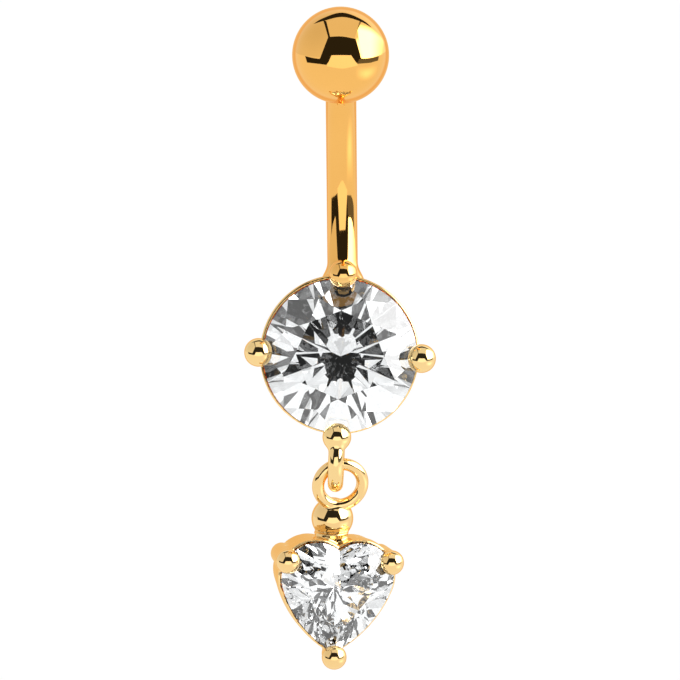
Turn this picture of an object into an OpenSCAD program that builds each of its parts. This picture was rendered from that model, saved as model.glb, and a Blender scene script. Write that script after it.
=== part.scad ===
// Curved navel ring: a ball, a bent bar, a round stone in four prongs and a hanging heart.
// Seen from the front, +X is to the right, +Z is up and both stones face -Y.
// The origin is the middle of the bent bar, where the bar lies in the piercing.

/* [Bar] */
// Thickness of the bar
bar_d = 1.6; // [1.2:0.1:1.8]
// Straight distance between the two ends of the bar
bar_span = 10; // [9:0.5:12]
// Radius of the bend, measured to the middle of the bar
bend_r = 10; // [9:0.5:14]
// How far the middle of the bar leans forward at its top, in degrees
bar_lean = 10.5; // [7:0.5:13]
// How far the bar runs on into the round setting
bar_sink = 0.7; // [0.65:0.05:0.8]
// Widest part of the solder round the bar's lower end
solder_d = 2.3; // [2:0.1:2.6]
// Height of that solder above its widest part
solder_h = 0.9; // [0.5:0.1:1.2]
// How deep the two ends of that solder sink into the bar
solder_bite = 0.1; // [0.05:0.05:0.2]
// Thickness of the hidden pin in the ball
pin_d = 1.1; // [0.8:0.1:1.1]
// Length of the hidden pin
pin_length = 2.2; // [1.5:0.1:2.6]

/* [Ball] */
// Diameter of the ball
ball_d = 5; // [4:0.5:6]

/* [Round stone] */
// Diameter of the round stone
stone_d = 8; // [7:0.5:9]
// Width of its flat table, corner to corner
stone_table_d = 4.6; // [4:0.1:5]
// Thickness of its edge
stone_edge = 0.2; // [0.1:0.05:0.3]
// Slope of its crown, in degrees
stone_crown_tilt = 34.5; // [30:0.5:36]
// Slope of its pavilion, in degrees
stone_pavilion_tilt = 40.8; // [39:0.2:43]
// How much flatter the facets round the table are than the crown, in degrees
star_flatter = 12; // [10:1:14]
// How much steeper the facets above the edge are than the crown, in degrees
upper_steeper = 7; // [5:1:9]
// How much steeper the facets below the edge are than the pavilion, in degrees
lower_steeper = 1.2; // [0.8:0.2:2]

/* [Round setting] */
// Diameter of the beads on the four prongs
prong_bead_d = 1.5; // [1.2:0.05:1.6]
// How far the middle of a bead lies outside the stone's edge
prong_bead_out = 0.24; // [0.15:0.01:0.35]
// How far the middle of a bead lies in front of the stone's edge
prong_bead_lift = 0.4; // [0.2:0.05:0.5]
// Thickness of a prong
prong_d = 0.88; // [0.8:0.02:0.9]
// How far the rail shows outside the stone
rail_out = 0.15; // [0.12:0.01:0.3]
// How far the rail's middle lies above the stone's, which sits a little low in it
rail_up = 0.08; // [0:0.01:0.08]
// How far the rail's middle lies to the left of the stone's
rail_left = 0.05; // [0:0.01:0.05]
// Width of the rail's wall
rail_wall = 0.75; // [0.6:0.05:0.9]
// Depth of the rail, front to back
rail_depth = 0.75; // [0.6:0.05:1]
// Radius of the small ring at the back of the setting, to the middle of its wire
base_r = 1.8; // [1.5:0.1:2.2]
// Thickness of that ring's wire
base_d = 1; // [0.95:0.05:1.1]
// How far that ring lies behind the stone's edge
base_back = 3.2; // [3:0.1:3.6]
// Distance from the bar's lower end forward to the plane of the stone's edge
setting_front = 1.8; // [1.6:0.05:2]
// How far the bar's lower end lies inside the rail's outer circle, seen from the front
setting_overlap = 0.35; // [0.3:0.05:0.5]
// Lean of the setting, its face upward, in degrees
setting_lean = 10; // [7:0.5:12]
// Turn of the setting about the upright, its face to the left, in degrees
setting_turn = 1; // [0:1:6]
// Roll of the setting, clockwise from the front, in degrees
setting_roll = 2.6; // [0:0.2:5]

/* [Hanging loop] */
// Thickness of the loop's wire
loop_wire = 0.8; // [0.6:0.05:0.9]
// Radius of the loop, to the middle of its wire
loop_r = 1.4; // [1.3:0.05:1.6]
// How far the loop's middle lies below the stone's edge
loop_below = 1.3; // [1.2:0.05:1.5]
// How far the loop's middle lies behind the stone's edge
loop_back = 0.75; // [0.5:0.05:1]

/* [Drop ring and bead] */
// Outer diameter of the drop ring
drop_ring_d = 3; // [2.9:0.05:3.1]
// Thickness of the drop ring's wire
drop_ring_wire = 0.64; // [0.56:0.02:0.68]
// Gap between the drop ring and the loop's wire that it hangs on
hang_gap = 0.2; // [0.1:0.05:0.3]
// Side that the ring hangs to, in degrees from straight below the loop's wire
ring_hang = 80; // [0:5:85]
// How far the ring's lower side leans back towards its bead, in degrees
ring_lean = 14; // [8:1:17]
// Diameter of the bead under the drop ring
drop_bead_d = 2.2; // [2:0.1:2.4]
// Middle of that bead below the middle of the drop ring
drop_bead_below = 1.95; // [1.85:0.05:2.1]
// Middle of that bead behind the drop ring
drop_bead_back = 0.8; // [0.6:0.05:0.9]
// Thickness of the neck that runs from the bead down into the cleft of the heart
neck_d = 1; // [0.8:0.05:1.2]
// Width of the web round that neck, at its top
web_top_d = 1.9; // [1.6:0.05:2]
// Width of that web at its foot
web_foot_d = 0.9; // [0.8:0.05:1]
// Distance from the bead's middle down to the top of the web
web_below = 0.6; // [0.5:0.05:0.7]
// How far the foot of the web lies in front of the bead's middle
web_front = 0.4; // [0.3:0.05:0.5]
// How far the foot of the web sinks below the bottom of the cleft
web_sink = 0.2; // [0.1:0.05:0.3]

/* [Heart stone] */
// Width of the heart stone
heart_w = 6; // [5:0.5:7]
// Radius of each lobe of the heart
lobe_r = 1.85; // [1.75:0.05:1.95]
// Height of the lobes' middles above the heart's middle
lobe_up = 0.85; // [0.75:0.05:1.05]
// Distance from the heart's middle down to its tip
heart_tip = 3.15; // [3:0.05:3.4]
// Radius of the heart's long sides
side_r = 6.2; // [5.5:0.1:7]
// Height of the crown, from the stone's edge to its table
heart_crown = 0.85; // [0.6:0.05:1]
// Slope of the crown, in degrees
heart_crown_tilt = 36; // [32:1:40]
// Depth of the pavilion, from the stone's edge to its culet
heart_pavilion = 2.45; // [2.2:0.05:2.5]
// Height of the culet above the heart's middle
heart_culet_up = 0.15; // [0:0.05:0.3]
// Thickness of its edge
heart_edge = 0.16; // [0.1:0.02:0.3]

/* [Heart setting] */
// How far the heart's rail shows outside the stone
heart_rail_out = 0.14; // [0.05:0.01:0.25]
// Width of the heart's wall
heart_wall = 0.8; // [0.75:0.05:0.9]
// Depth of the heart's rail
heart_rail_depth = 0.9; // [0.7:0.05:1.2]
// Depth of the whole heart setting behind the stone's edge
heart_back = 2.6; // [2.5:0.05:3]
// How far the back of the heart's wall steps inward
heart_step = 0.2; // [0.15:0.05:0.4]
// Diameter of the beads on the three prongs
heart_bead_d = 1.3; // [1.1:0.05:1.4]
// How far the bead's middle lies in front of the stone's edge
heart_bead_lift = 0.35; // [0.2:0.05:0.5]
// Thickness of the two upper prongs
heart_prong_d = 1.15; // [1:0.05:1.25]
// How far the back end of an upper prong lies nearer to the heart's middle than its bead
heart_prong_lean = 0.15; // [0:0.05:0.3]
// How far the two upper prongs end in front of the wall's back
heart_prong_short = 0.1; // [0.05:0.05:0.3]
// Thickness of the prong at the tip
tip_prong_d = 0.95; // [0.85:0.05:1.1]
// How far the prong at the tip reaches behind the stone's edge
tip_prong_back = 1; // [0.9:0.05:1.4]
// Height of the two upper prongs above the heart's middle
heart_prong_up = 1.75; // [1.6:0.05:1.9]
// How far the bottom prong lies below the heart's tip
heart_prong_down = 0.2; // [0.12:0.01:0.25]
// Middle of the heart below the middle of the drop ring
heart_below = 5.6; // [5.5:0.05:5.8]
// How far the heart's edge lies in front of the drop ring
heart_front = 0.9; // [0.7:0.05:1.1]
// Side offset of the heart from the loop's wire, to the left
heart_left = 0.14; // [0:0.02:0.24]
// Roll of the heart, clockwise from the front, in degrees
heart_roll = 3.5; // [0:0.5:6]
// Turn of the whole drop about the upright, its face to the right, in degrees
drop_yaw = 12; // [0:1:18]
// Lean of the whole drop, its face towards the ground, in degrees
drop_lean = 2.5; // [0:0.5:5]

/* [Fits] */
// Gap between the ball and the end of the bar
seat_gap = 0.02; // [0.01:0.01:0.05]
// Gap round the hidden pin in the ball
pin_gap = 0.02; // [0.01:0.01:0.05]
// Gap between a stone and its metal
stone_gap = 0.03; // [0.02:0.01:0.05]

/* [Hidden] */
$fn = 64;
gold = "#f5bd6a";
clear_stone = "#dfe6ea";
far = 30;

// Bar: an arc round bend_centre, from sunk_angle, inside the setting, up to upper_angle.
half_angle = asin(bar_span / (2 * bend_r));
upper_angle = half_angle + bar_lean;
lower_angle = bar_lean - half_angle;
sunk_angle = lower_angle - bar_sink / bend_r * 180 / PI;
bend_centre = [0, -bend_r * cos(bar_lean), -bend_r * sin(bar_lean)];
bar_top = bend_centre + bend_r * [0, cos(upper_angle), sin(upper_angle)];
bar_foot = bend_centre + bend_r * [0, cos(sunk_angle), sin(sunk_angle)];
pin_root = bar_d / 2;
ball_rise = sqrt(pow(ball_d / 2, 2) - pow(bar_d / 2, 2));

// Round stone: eight-fold, with the facets between the main ones a quarter step to each side.
facet_step = 45;
stone_r = stone_d / 2;
half_edge = stone_edge / 2;
table_z = half_edge + (stone_r - stone_table_d / 2) * tan(stone_crown_tilt);
star_tilt = stone_crown_tilt - star_flatter;
crown_half_tilt = stone_crown_tilt + upper_steeper;
pavilion_half_tilt = stone_pavilion_tilt + lower_steeper;
crown_rise = cos(facet_step / 4) * tan(crown_half_tilt);
pavilion_rise = cos(facet_step / 4) * tan(pavilion_half_tilt);

// Round setting: its middle lies so that the top prong meets the bar's lower end.
prong_out_r = stone_r + prong_bead_out;
rail_r = stone_r + rail_out;
setting_drop = rail_r - setting_overlap;
setting_at = bar_foot + leaned([-setting_drop * sin(setting_roll), -setting_front, -setting_drop]);
loop_from_middle = stone_r + loop_below;

// Drop: it hangs on the loop's lowest wire, at hang_at. The hook is that wire, seen square on.
hook = [
    0,
    loop_back + loop_r * sin(setting_lean),
    -loop_from_middle - loop_r * cos(setting_lean)
];
hang_at = setting_at + turned(leaned(rolled(hook)));
ring_r = (drop_ring_d - drop_ring_wire) / 2;
ring_swing = drop_ring_d / 2 - drop_ring_wire - loop_wire / 2 - hang_gap;
ring_at = ring_swing * [sin(ring_hang), 0, -cos(ring_hang)];
drop_bead_at = [0, drop_bead_back, ring_at.z - drop_bead_below];
heart_at = [-heart_left, -heart_front, ring_at.z - heart_below];

// Heart outline: two lobe circles, and two long sides that run from each lobe to the tip.
lobe_x = heart_w / 2 - lobe_r;
side_reach = side_r - lobe_r;
tip_reach = lobe_up + heart_tip;
side_a = 2 * lobe_x * side_reach;
side_b = 2 * tip_reach * side_reach;
side_k = pow(lobe_x, 2) + pow(tip_reach, 2) + pow(side_reach, 2) - pow(side_r, 2);
join_angle = acos(side_k / norm([side_a, side_b])) - atan2(side_b, side_a);
side_x = lobe_x - side_reach * cos(join_angle);
side_up = lobe_up + side_reach * sin(join_angle);
tip_angle = atan2(heart_tip + side_up, -side_x);
heart_prong_x = lobe_x + sqrt(pow(lobe_r, 2) - pow(heart_prong_up - lobe_up, 2));
heart_table_z = heart_edge / 2 + heart_crown;
cleft_up = lobe_up + sqrt(pow(lobe_r, 2) - pow(lobe_x, 2));

// Directions of the facets round one half of the heart: first the lobe, then the long side.
lobe_facets = [for (a = [0 : 30 : 150]) a];
side_facets = [for (share = [0.25, 0.65, 1]) -join_angle - share * (tip_angle - join_angle)];

// A point of the setting after its roll, its lean and its turn.
function rolled(v) = [
    v.x * cos(setting_roll) + v.z * sin(setting_roll),
    v.y,
    v.z * cos(setting_roll) - v.x * sin(setting_roll)
];
function leaned(v) = [
    v.x,
    v.y * cos(setting_lean) + v.z * sin(setting_lean),
    v.z * cos(setting_lean) - v.y * sin(setting_lean)
];
function turned(v) = [
    v.x * cos(setting_turn) + v.y * sin(setting_turn),
    v.y * cos(setting_turn) - v.x * sin(setting_turn),
    v.z
];

// Distance from the heart's middle to its outline's tangent, for a direction on that half.
function lobe_reach(a) = lobe_x * cos(a) + lobe_up * sin(a) + lobe_r;
function side_reach_at(a) = side_x * cos(a) + side_up * sin(a) + side_r;

// Slope of the pavilion facet that runs from the outline at this direction to the culet.
function culet_tilt(a, reach) = atan(heart_pavilion / (reach - heart_culet_up * sin(a)));

// A straight rod between two points.
module rod(from, to, d) {
    run = to - from;
    translate(from)
        rotate([0, acos(run.z / norm(run)), atan2(run.y, run.x)])
            cylinder(d = d, h = norm(run));
}

// A closed ring of round wire, flat in the XY plane.
module wire_ring(r, wire) {
    rotate_extrude()
        translate([r, 0])
            circle(d = wire);
}

// The space behind one facet: a plane at this direction, slope and distance from the middle.
module behind(direction, tilt, distance) {
    rotate([0, 0, direction])
        rotate([0, tilt, 0])
            translate([-far / 2, -far / 2, distance - far])
                cube(far);
}

// Stones and settings are drawn face up; this stands them up, facing forward.
module face_front() {
    rotate([90, 0, 0]) children();
}

module place_setting() {
    translate(setting_at)
        rotate([0, 0, -setting_turn])
            rotate([-setting_lean, 0, 0])
                rotate([0, setting_roll, 0])
                    face_front()
                        children();
}

module place_drop() {
    translate(hang_at)
        rotate([0, 0, drop_yaw])
            rotate([drop_lean, 0, 0])
                children();
}

module place_heart() {
    place_drop()
        translate(heart_at)
            rotate([0, heart_roll, 0])
                face_front()
                    children();
}

module place_bar_top() {
    translate(bar_top) rotate([upper_angle, 0, 0]) children();
}

module place_bar_foot() {
    translate(bar_foot) rotate([sunk_angle, 0, 0]) children();
}

// The round stone, with all its flat facets.
module brilliant() {
    chord = stone_r * cos(facet_step / 4);
    intersection() {
        translate([0, 0, -stone_r]) cylinder(r = stone_r, h = stone_r + table_z);
        intersection_for(i = [0 : 7]) {
            behind(i * facet_step, stone_crown_tilt,
                stone_r * sin(stone_crown_tilt) + half_edge * cos(stone_crown_tilt));
        }
        intersection_for(i = [0 : 7]) {
            behind((i + 0.5) * facet_step, star_tilt,
                stone_table_d / 2 * cos(facet_step / 2) * sin(star_tilt) + table_z * cos(star_tilt));
        }
        intersection_for(i = [0 : 15]) {
            behind((i + 0.5) * facet_step / 2, crown_half_tilt,
                chord * sin(crown_half_tilt) + half_edge * cos(crown_half_tilt));
        }
        intersection_for(i = [0 : 7]) {
            behind(i * facet_step, 180 - stone_pavilion_tilt,
                stone_r * sin(stone_pavilion_tilt) + half_edge * cos(stone_pavilion_tilt));
        }
        intersection_for(i = [0 : 15]) {
            behind((i + 0.5) * facet_step / 2, 180 - pavilion_half_tilt,
                chord * sin(pavilion_half_tilt) + half_edge * cos(pavilion_half_tilt));
        }
    }
}

// The space that the round stone needs in its setting.
module stone_space() {
    r = stone_r + stone_gap;
    edge = half_edge + stone_gap;
    rotate_extrude()
        polygon([
            [0, -edge - r * pavilion_rise],
            [r, -edge],
            [r, edge],
            [0, edge + r * crown_rise]
        ]);
}

// One prong: a leaning rod from the back ring to a bead on the stone's edge.
module prong() {
    tip = [prong_out_r, 0, prong_bead_lift];
    rod([base_r, 0, -base_back], tip, prong_d);
    translate(tip) sphere(d = prong_bead_d);
}

module round_setting() {
    translate([-rail_left, rail_up, 0])
        difference() {
            translate([0, 0, -half_edge - rail_depth]) cylinder(r = rail_r, h = rail_depth);
            translate([0, 0, -base_back]) cylinder(r = rail_r - rail_wall, h = 2 * base_back);
        }
    translate([0, 0, -base_back]) wire_ring(base_r, base_d);
    for (i = [0 : 3]) {
        rotate([0, 0, 90 * i]) prong();
    }
    translate([0, -loop_from_middle, -loop_back])
        rotate([0, 90, 0])
            wire_ring(loop_r, loop_wire);
}

// The blob of solder round the bar's lower end, widest at z = 0.
module solder() {
    slim = bar_d / 2 - solder_bite;
    rotate_extrude()
        polygon([
            [0, -solder_h / 2],
            [slim, -solder_h / 2],
            [solder_d / 2, 0],
            [slim, solder_h],
            [0, solder_h]
        ]);
}

module bent_bar() {
    translate(bend_centre)
        rotate([90, 0, 90])
            rotate([0, 0, sunk_angle])
                rotate_extrude(angle = upper_angle - sunk_angle)
                    translate([bend_r, 0])
                        circle(d = bar_d);
    place_bar_top()
        translate([0, 0, -pin_root])
            cylinder(d = pin_d, h = pin_root + pin_length);
    place_bar_foot() solder();
}

module top_ball() {
    color(gold)
        place_bar_top()
            difference() {
                translate([0, 0, seat_gap + ball_rise]) sphere(d = ball_d);
                translate([-ball_d / 2, -ball_d / 2, seat_gap - ball_d]) cube(ball_d);
                cylinder(d = pin_d + 2 * pin_gap, h = pin_length + pin_gap);
            }
}

module barbell() {
    color(gold)
        difference() {
            union() {
                bent_bar();
                place_setting() round_setting();
            }
            place_setting() stone_space();
        }
}

module round_stone() {
    color(clear_stone)
        place_setting() brilliant();
}

// The heart outline raised to a solid, its edge moved outward by grow.
module heart_solid(grow, bottom, top) {
    translate([0, 0, bottom]) {
        for (side = [-1, 1]) {
            translate([side * lobe_x, lobe_up, 0]) cylinder(r = lobe_r + grow, h = top - bottom);
        }
        intersection() {
            translate([side_x, side_up, 0]) cylinder(r = side_r + grow, h = top - bottom);
            translate([-side_x, side_up, 0]) cylinder(r = side_r + grow, h = top - bottom);
            translate([-far / 2, lobe_up - (lobe_r + grow) * sin(join_angle) - far, 0])
                cube([far, far, top - bottom]);
        }
    }
}

// The space behind one crown facet and one pavilion facet of the heart, moved outward by grow.
module within_facets(a, reach, grow) {
    pavilion_tilt = culet_tilt(a, reach);
    half_heart_edge = heart_edge / 2;
    intersection() {
        behind(a, heart_crown_tilt,
            reach * sin(heart_crown_tilt) + half_heart_edge * cos(heart_crown_tilt) + grow);
        behind(a, 180 - pavilion_tilt,
            reach * sin(pavilion_tilt) + half_heart_edge * cos(pavilion_tilt) + grow);
    }
}

// What the sloping facets of one half of the heart leave.
module within_half_heart(grow) {
    intersection() {
        intersection_for(a = lobe_facets) within_facets(a, lobe_reach(a), grow);
        intersection_for(a = side_facets) {
            intersection() {
                within_facets(a, side_reach_at(a), grow);
                within_facets(180 - a, side_reach_at(a), grow);
            }
        }
    }
}

// The heart stone: two faceted halves that share their lower part, cut flat at the table.
module heart_cut(grow) {
    for (side = [0, 1]) {
        mirror([side, 0, 0])
            intersection() {
                heart_solid(grow, -heart_w / 2, heart_table_z + grow);
                within_half_heart(grow);
            }
    }
}

// A prong of the heart: at is its bead's place across the face, and foot_at its back end's.
module heart_prong(at, foot_at, back, d) {
    foot = [foot_at.x, foot_at.y, d / 2 - back];
    tip = [at.x, at.y, heart_bead_lift];
    rod(foot, tip, d);
    translate(foot) sphere(d = d);
    translate(tip) sphere(d = heart_bead_d);
}

module heart_gallery() {
    rail_back = -heart_edge / 2 - heart_rail_depth;
    difference() {
        union() {
            heart_solid(heart_rail_out, rail_back, -heart_edge / 2);
            heart_solid(heart_rail_out - heart_step, -heart_back, -heart_edge / 2);
        }
        heart_solid(heart_rail_out - heart_step - heart_wall, -2 * heart_back, heart_back);
    }
    for (side = [-1, 1]) {
        at = [side * heart_prong_x, heart_prong_up];
        foot_at = at * (1 - heart_prong_lean / norm(at));
        heart_prong(at, foot_at, heart_back - heart_prong_short, heart_prong_d);
    }
    tip_at = [0, -heart_tip - heart_prong_down];
    heart_prong(tip_at, tip_at, tip_prong_back, tip_prong_d);
}

// The neck and web that carry the bead, in the cleft between the two lobes.
module cleft_web() {
    foot = [heart_at.x, drop_bead_at.y - web_front, heart_at.z + cleft_up - web_sink];
    rod(foot, drop_bead_at, neck_d);
    translate(foot)
        cylinder(d1 = web_foot_d, d2 = web_top_d, h = drop_bead_at.z - foot.z - web_below);
}

module heart_setting() {
    color(gold)
        difference() {
            union() {
                place_drop() {
                    rotate([ring_lean, 0, 0])
                        translate(ring_at)
                            face_front()
                                wire_ring(ring_r, drop_ring_wire);
                    translate(drop_bead_at) sphere(d = drop_bead_d);
                    cleft_web();
                }
                place_heart() heart_gallery();
            }
            place_heart() heart_cut(stone_gap);
        }
}

module heart_stone() {
    color(clear_stone)
        place_heart() heart_cut(0);
}

top_ball();
barbell();
round_stone();
heart_setting();
heart_stone();
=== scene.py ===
# %% [markdown]
# # A gold navel ring with a round stone and a heart drop
#
# The jewel is a bent bar with a screw-on ball at its top. Below the bar a round clear stone sits
# in a setting of four prongs. A loop under the setting holds a small ring, and the ring carries a
# heart-shaped stone in a setting of three prongs, which can swing.
#
# The CAD model gives the frame. Its sizes and places are repeated here, and the few that differ
# say so. Each piece gets the soft, run-together surface of cast, soldered and polished metal, or
# the sharp facets of a cut stone. Then come the finishes, and a small studio for the light.

# %% The tools and the fixed frame
import math

import bmesh
import bpy
import numpy as np
from mathutils import Matrix, Vector


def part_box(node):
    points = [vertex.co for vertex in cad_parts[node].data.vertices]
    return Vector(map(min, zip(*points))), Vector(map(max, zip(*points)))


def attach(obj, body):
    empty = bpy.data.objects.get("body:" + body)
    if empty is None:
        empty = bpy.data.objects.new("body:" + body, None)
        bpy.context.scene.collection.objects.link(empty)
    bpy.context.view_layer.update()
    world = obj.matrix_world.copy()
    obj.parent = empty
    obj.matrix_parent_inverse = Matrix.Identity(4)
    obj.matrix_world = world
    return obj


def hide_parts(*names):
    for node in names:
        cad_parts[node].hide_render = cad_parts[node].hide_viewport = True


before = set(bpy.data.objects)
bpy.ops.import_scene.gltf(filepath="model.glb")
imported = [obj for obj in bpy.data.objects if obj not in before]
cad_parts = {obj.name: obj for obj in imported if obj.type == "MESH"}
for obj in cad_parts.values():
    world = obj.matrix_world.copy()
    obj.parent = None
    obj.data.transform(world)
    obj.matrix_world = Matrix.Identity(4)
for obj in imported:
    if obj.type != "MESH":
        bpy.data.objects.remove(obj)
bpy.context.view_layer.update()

# %% [markdown]
# ## Millimetres and places
#
# A jeweller works in millimetres, and so does this lesson; only the finished mesh is turned into
# Blender's metres. X is to the right, Y goes back, Z is up, and the middle of the bar is at 0.
#
# Each part is drawn in a place of its own and then put where it belongs. A place is an origin and
# three directions. The stones are drawn face up, so their places also turn them to the front.

# %% Places
MM = 0.001


def turn(axis, degrees):
    """A turn about X, Y or Z as a matrix of three columns."""
    return np.array(Matrix.Rotation(math.radians(degrees), 3, axis))


class Place:
    def __init__(self, origin, turning):
        self.origin, self.turning = np.array(origin, float), turning

    def inside(self, points):
        """Points of the jewel's frame, as this place sees them."""
        return (points - self.origin) @ self.turning

    def outside(self, point):
        """A point of this place, in the jewel's frame."""
        return self.origin + self.turning @ np.array(point, float)


# %% [markdown]
# ## Metal that runs together
#
# A cast and soldered setting has no sharp inner corners: solder creeps into each joint and the
# polishing wheel rounds each edge. Blender could join primitives with booleans and bevel them, but
# many thin curved joints break a bevel. Here each piece is one formula instead, the distance from
# any point to the metal. Two distances are joined by a smooth minimum, which leaves a fillet like
# solder. The formula is then turned into a mesh, fine enough to mirror the studio cleanly.


# %% Joining and cutting distances
def join(a, b, fillet):
    """The nearer of two forms, with a fillet of that width where they meet."""
    h = np.maximum(fillet - np.abs(a - b), 0) / fillet
    return np.minimum(a, b) - h * h * fillet / 4


def keep_both(a, b, rounding):
    """What lies in both forms, with its edge rounded."""
    return -join(-a, -b, rounding)


def cut_away(a, b, rounding):
    """The form a less the form b, with its edge rounded."""
    return keep_both(a, -b, rounding)


# %% Distances to simple forms
def ball_form(p, middle, r):
    return np.linalg.norm(p - middle, axis=1) - r


def rod_form(p, start, end, r, end_r=None):
    """A rod with round ends; it can taper to end_r."""
    start, end = np.array(start, float), np.array(end, float)
    run = end - start
    t = np.clip((p - start) @ run / (run @ run), 0, 1)
    radius = r if end_r is None else r + (end_r - r) * t
    return np.linalg.norm(p - start - t[:, None] * run, axis=1) - radius


def ring_form(p, r, wire_r):
    """A ring of round wire, flat in XY."""
    return np.hypot(np.hypot(p[:, 0], p[:, 1]) - r, p[:, 2]) - wire_r


def slab_form(outline, z, low, high, rounding):
    """An outline raised from low to high. outline is each point's distance to it in XY."""
    w = np.abs(z - (low + high) / 2) - (high - low) / 2 + rounding
    d = outline + rounding
    inner = np.minimum(np.maximum(d, w), 0)
    return inner + np.hypot(np.maximum(d, 0), np.maximum(w, 0)) - rounding


def plane_form(p, direction, tilt, distance):
    """How far in front of a facet's plane each point lies."""
    a, t = math.radians(direction), math.radians(tilt)
    normal = np.array([math.cos(a) * math.sin(t), math.sin(a) * math.sin(t), math.cos(t)])
    return p @ normal - distance


# %% [markdown]
# ## From a distance to a mesh
#
# The space round a piece is divided into small cubes, and the distance is worked out at their
# corners. Each cube that the surface crosses gets one point, and each cube edge that it crosses
# gets a four-sided face between the four cubes round it. The points are then moved onto the exact
# surface, and the formula's own slope gives each point its normal. That last step is what makes
# the metal look polished: a mirror shows the smallest fault in a normal.

# %% The grid of distances
BLOCK = 8  # cubes along each side of a block
SPARE_CUBES = 1.5  # by how much the search near the surface reaches past a block's corner
BLOCKS_AT_ONCE = 1500  # keeps the memory in use small


def filled_grid(form, low, step, count):
    """The form's distance at each grid point. Only blocks near the surface are worked out."""
    blocks = [math.ceil(n / BLOCK) for n in count]
    middles = np.stack(np.meshgrid(*[low[i] + step * (BLOCK * np.arange(blocks[i]) + BLOCK / 2)
                                     for i in range(3)], indexing="ij"), -1).reshape(-1, 3)
    coarse = form(middles).reshape(blocks)
    reach = step * (BLOCK / 2 + SPARE_CUBES) * math.sqrt(3)
    grid = np.repeat(np.repeat(np.repeat(coarse, BLOCK, 0), BLOCK, 1), BLOCK, 2)
    grid = grid.astype(np.float32)
    offsets = np.stack(np.meshgrid(*[np.arange(BLOCK)] * 3, indexing="ij"), -1).reshape(-1, 3)
    near = np.argwhere(np.abs(coarse) < reach) * BLOCK
    for part in np.array_split(near, max(1, len(near) // BLOCKS_AT_ONCE)):
        index = (part[:, None, :] + offsets).reshape(-1, 3)
        grid[tuple(index.T)] = form(low + step * index)
    return grid


# %% One point in each cube that the surface crosses
CORNERS = [(i, j, k) for i in (0, 1) for j in (0, 1) for k in (0, 1)]


def crossing_points(grid):
    """One point for each cube that the surface crosses, and each cube's number."""
    cubes = [n - 1 for n in grid.shape]
    within = sum((grid[i:i + cubes[0], j:j + cubes[1], k:k + cubes[2]] < 0).astype(np.int8)
                 for i, j, k in CORNERS)
    crossed = np.argwhere((within > 0) & (within < len(CORNERS)))
    number = np.full(cubes, -1, np.int32)
    number[tuple(crossed.T)] = np.arange(len(crossed))
    total, hits = np.zeros((len(crossed), 3)), np.zeros(len(crossed))
    for c in CORNERS:
        for axis in range(3):
            if c[axis]:
                continue
            d = list(c)
            d[axis] = 1
            a = grid[tuple((crossed + c).T)].astype(float)
            b = grid[tuple((crossed + d).T)].astype(float)
            hit = (a < 0) != (b < 0)
            share = np.where(hit, a / np.where(hit, a - b, 1), 0)
            point = np.tile(np.array(c, float), (len(crossed), 1))
            point[:, axis] = share
            total += point * hit[:, None]
            hits += hit
    return crossed + total / hits[:, None], number


# %% A face round each edge that the surface crosses
def crossing_quads(grid, number):
    """A four-sided face between the four cubes round each crossed edge, turned outward."""
    quads = []
    for axis in range(3):
        u, v = (axis + 1) % 3, (axis + 2) % 3
        ahead = np.roll(grid, -1, axis)
        hit = (grid < 0) != (ahead < 0)
        hit[tuple(-1 if i == axis else slice(None) for i in range(3))] = False
        edges = np.argwhere(hit)
        edges = edges[(edges[:, u] > 0) & (edges[:, v] > 0)]
        corners = []
        for back_u, back_v in ((0, 0), (1, 0), (1, 1), (0, 1)):
            cube = edges.copy()
            cube[:, u] -= back_u
            cube[:, v] -= back_v
            corners.append(number[tuple(cube.T)])
        quad = np.stack(corners, 1)
        outward = grid[tuple(edges.T)] < 0
        quads.append(np.where(outward[:, None], quad, quad[:, ::-1]))
    return np.concatenate(quads)


# %% Settling the points on the true surface
SLOPE_REACH = 0.002  # mm to each side of a point, where its slope is measured
LEAST_SLOPE = 0.1  # keeps a point in a sharp crease from jumping away


def slopes(form, points):
    """The direction in which the distance grows, at each point."""
    out = np.empty_like(points)
    for axis in range(3):
        shift = np.zeros(3)
        shift[axis] = SLOPE_REACH
        out[:, axis] = (form(points + shift) - form(points - shift)) / (2 * SLOPE_REACH)
    return out


def settled(form, points, rounds):
    """Moves points onto the surface along the slope."""
    for _ in range(rounds):
        slope = slopes(form, points)
        size = np.maximum((slope**2).sum(1), LEAST_SLOPE)
        points = points - slope * (form(points) / size)[:, None]
    return points


def evened(points, quads):
    """Moves each point halfway to the middle of its neighbours, which evens the faces out."""
    total, count = np.zeros_like(points), np.zeros(len(points))
    for a, b in ((0, 1), (1, 2), (2, 3), (3, 0)):
        for start, end in ((a, b), (b, a)):
            np.add.at(total, quads[:, start], points[quads[:, end]])
            np.add.at(count, quads[:, start], 1)
    return (points + total / count[:, None]) / 2


# %% A finished mesh
MESH_STEP = 0.07  # mm, the side of a cube
MARGIN = 0.4  # mm of empty space round a piece
EVENING_ROUNDS, SETTLING_ROUNDS = 2, 2


def new_object(name, data):
    thing = bpy.data.objects.new(name, data)
    bpy.context.scene.collection.objects.link(thing)
    return thing


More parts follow.
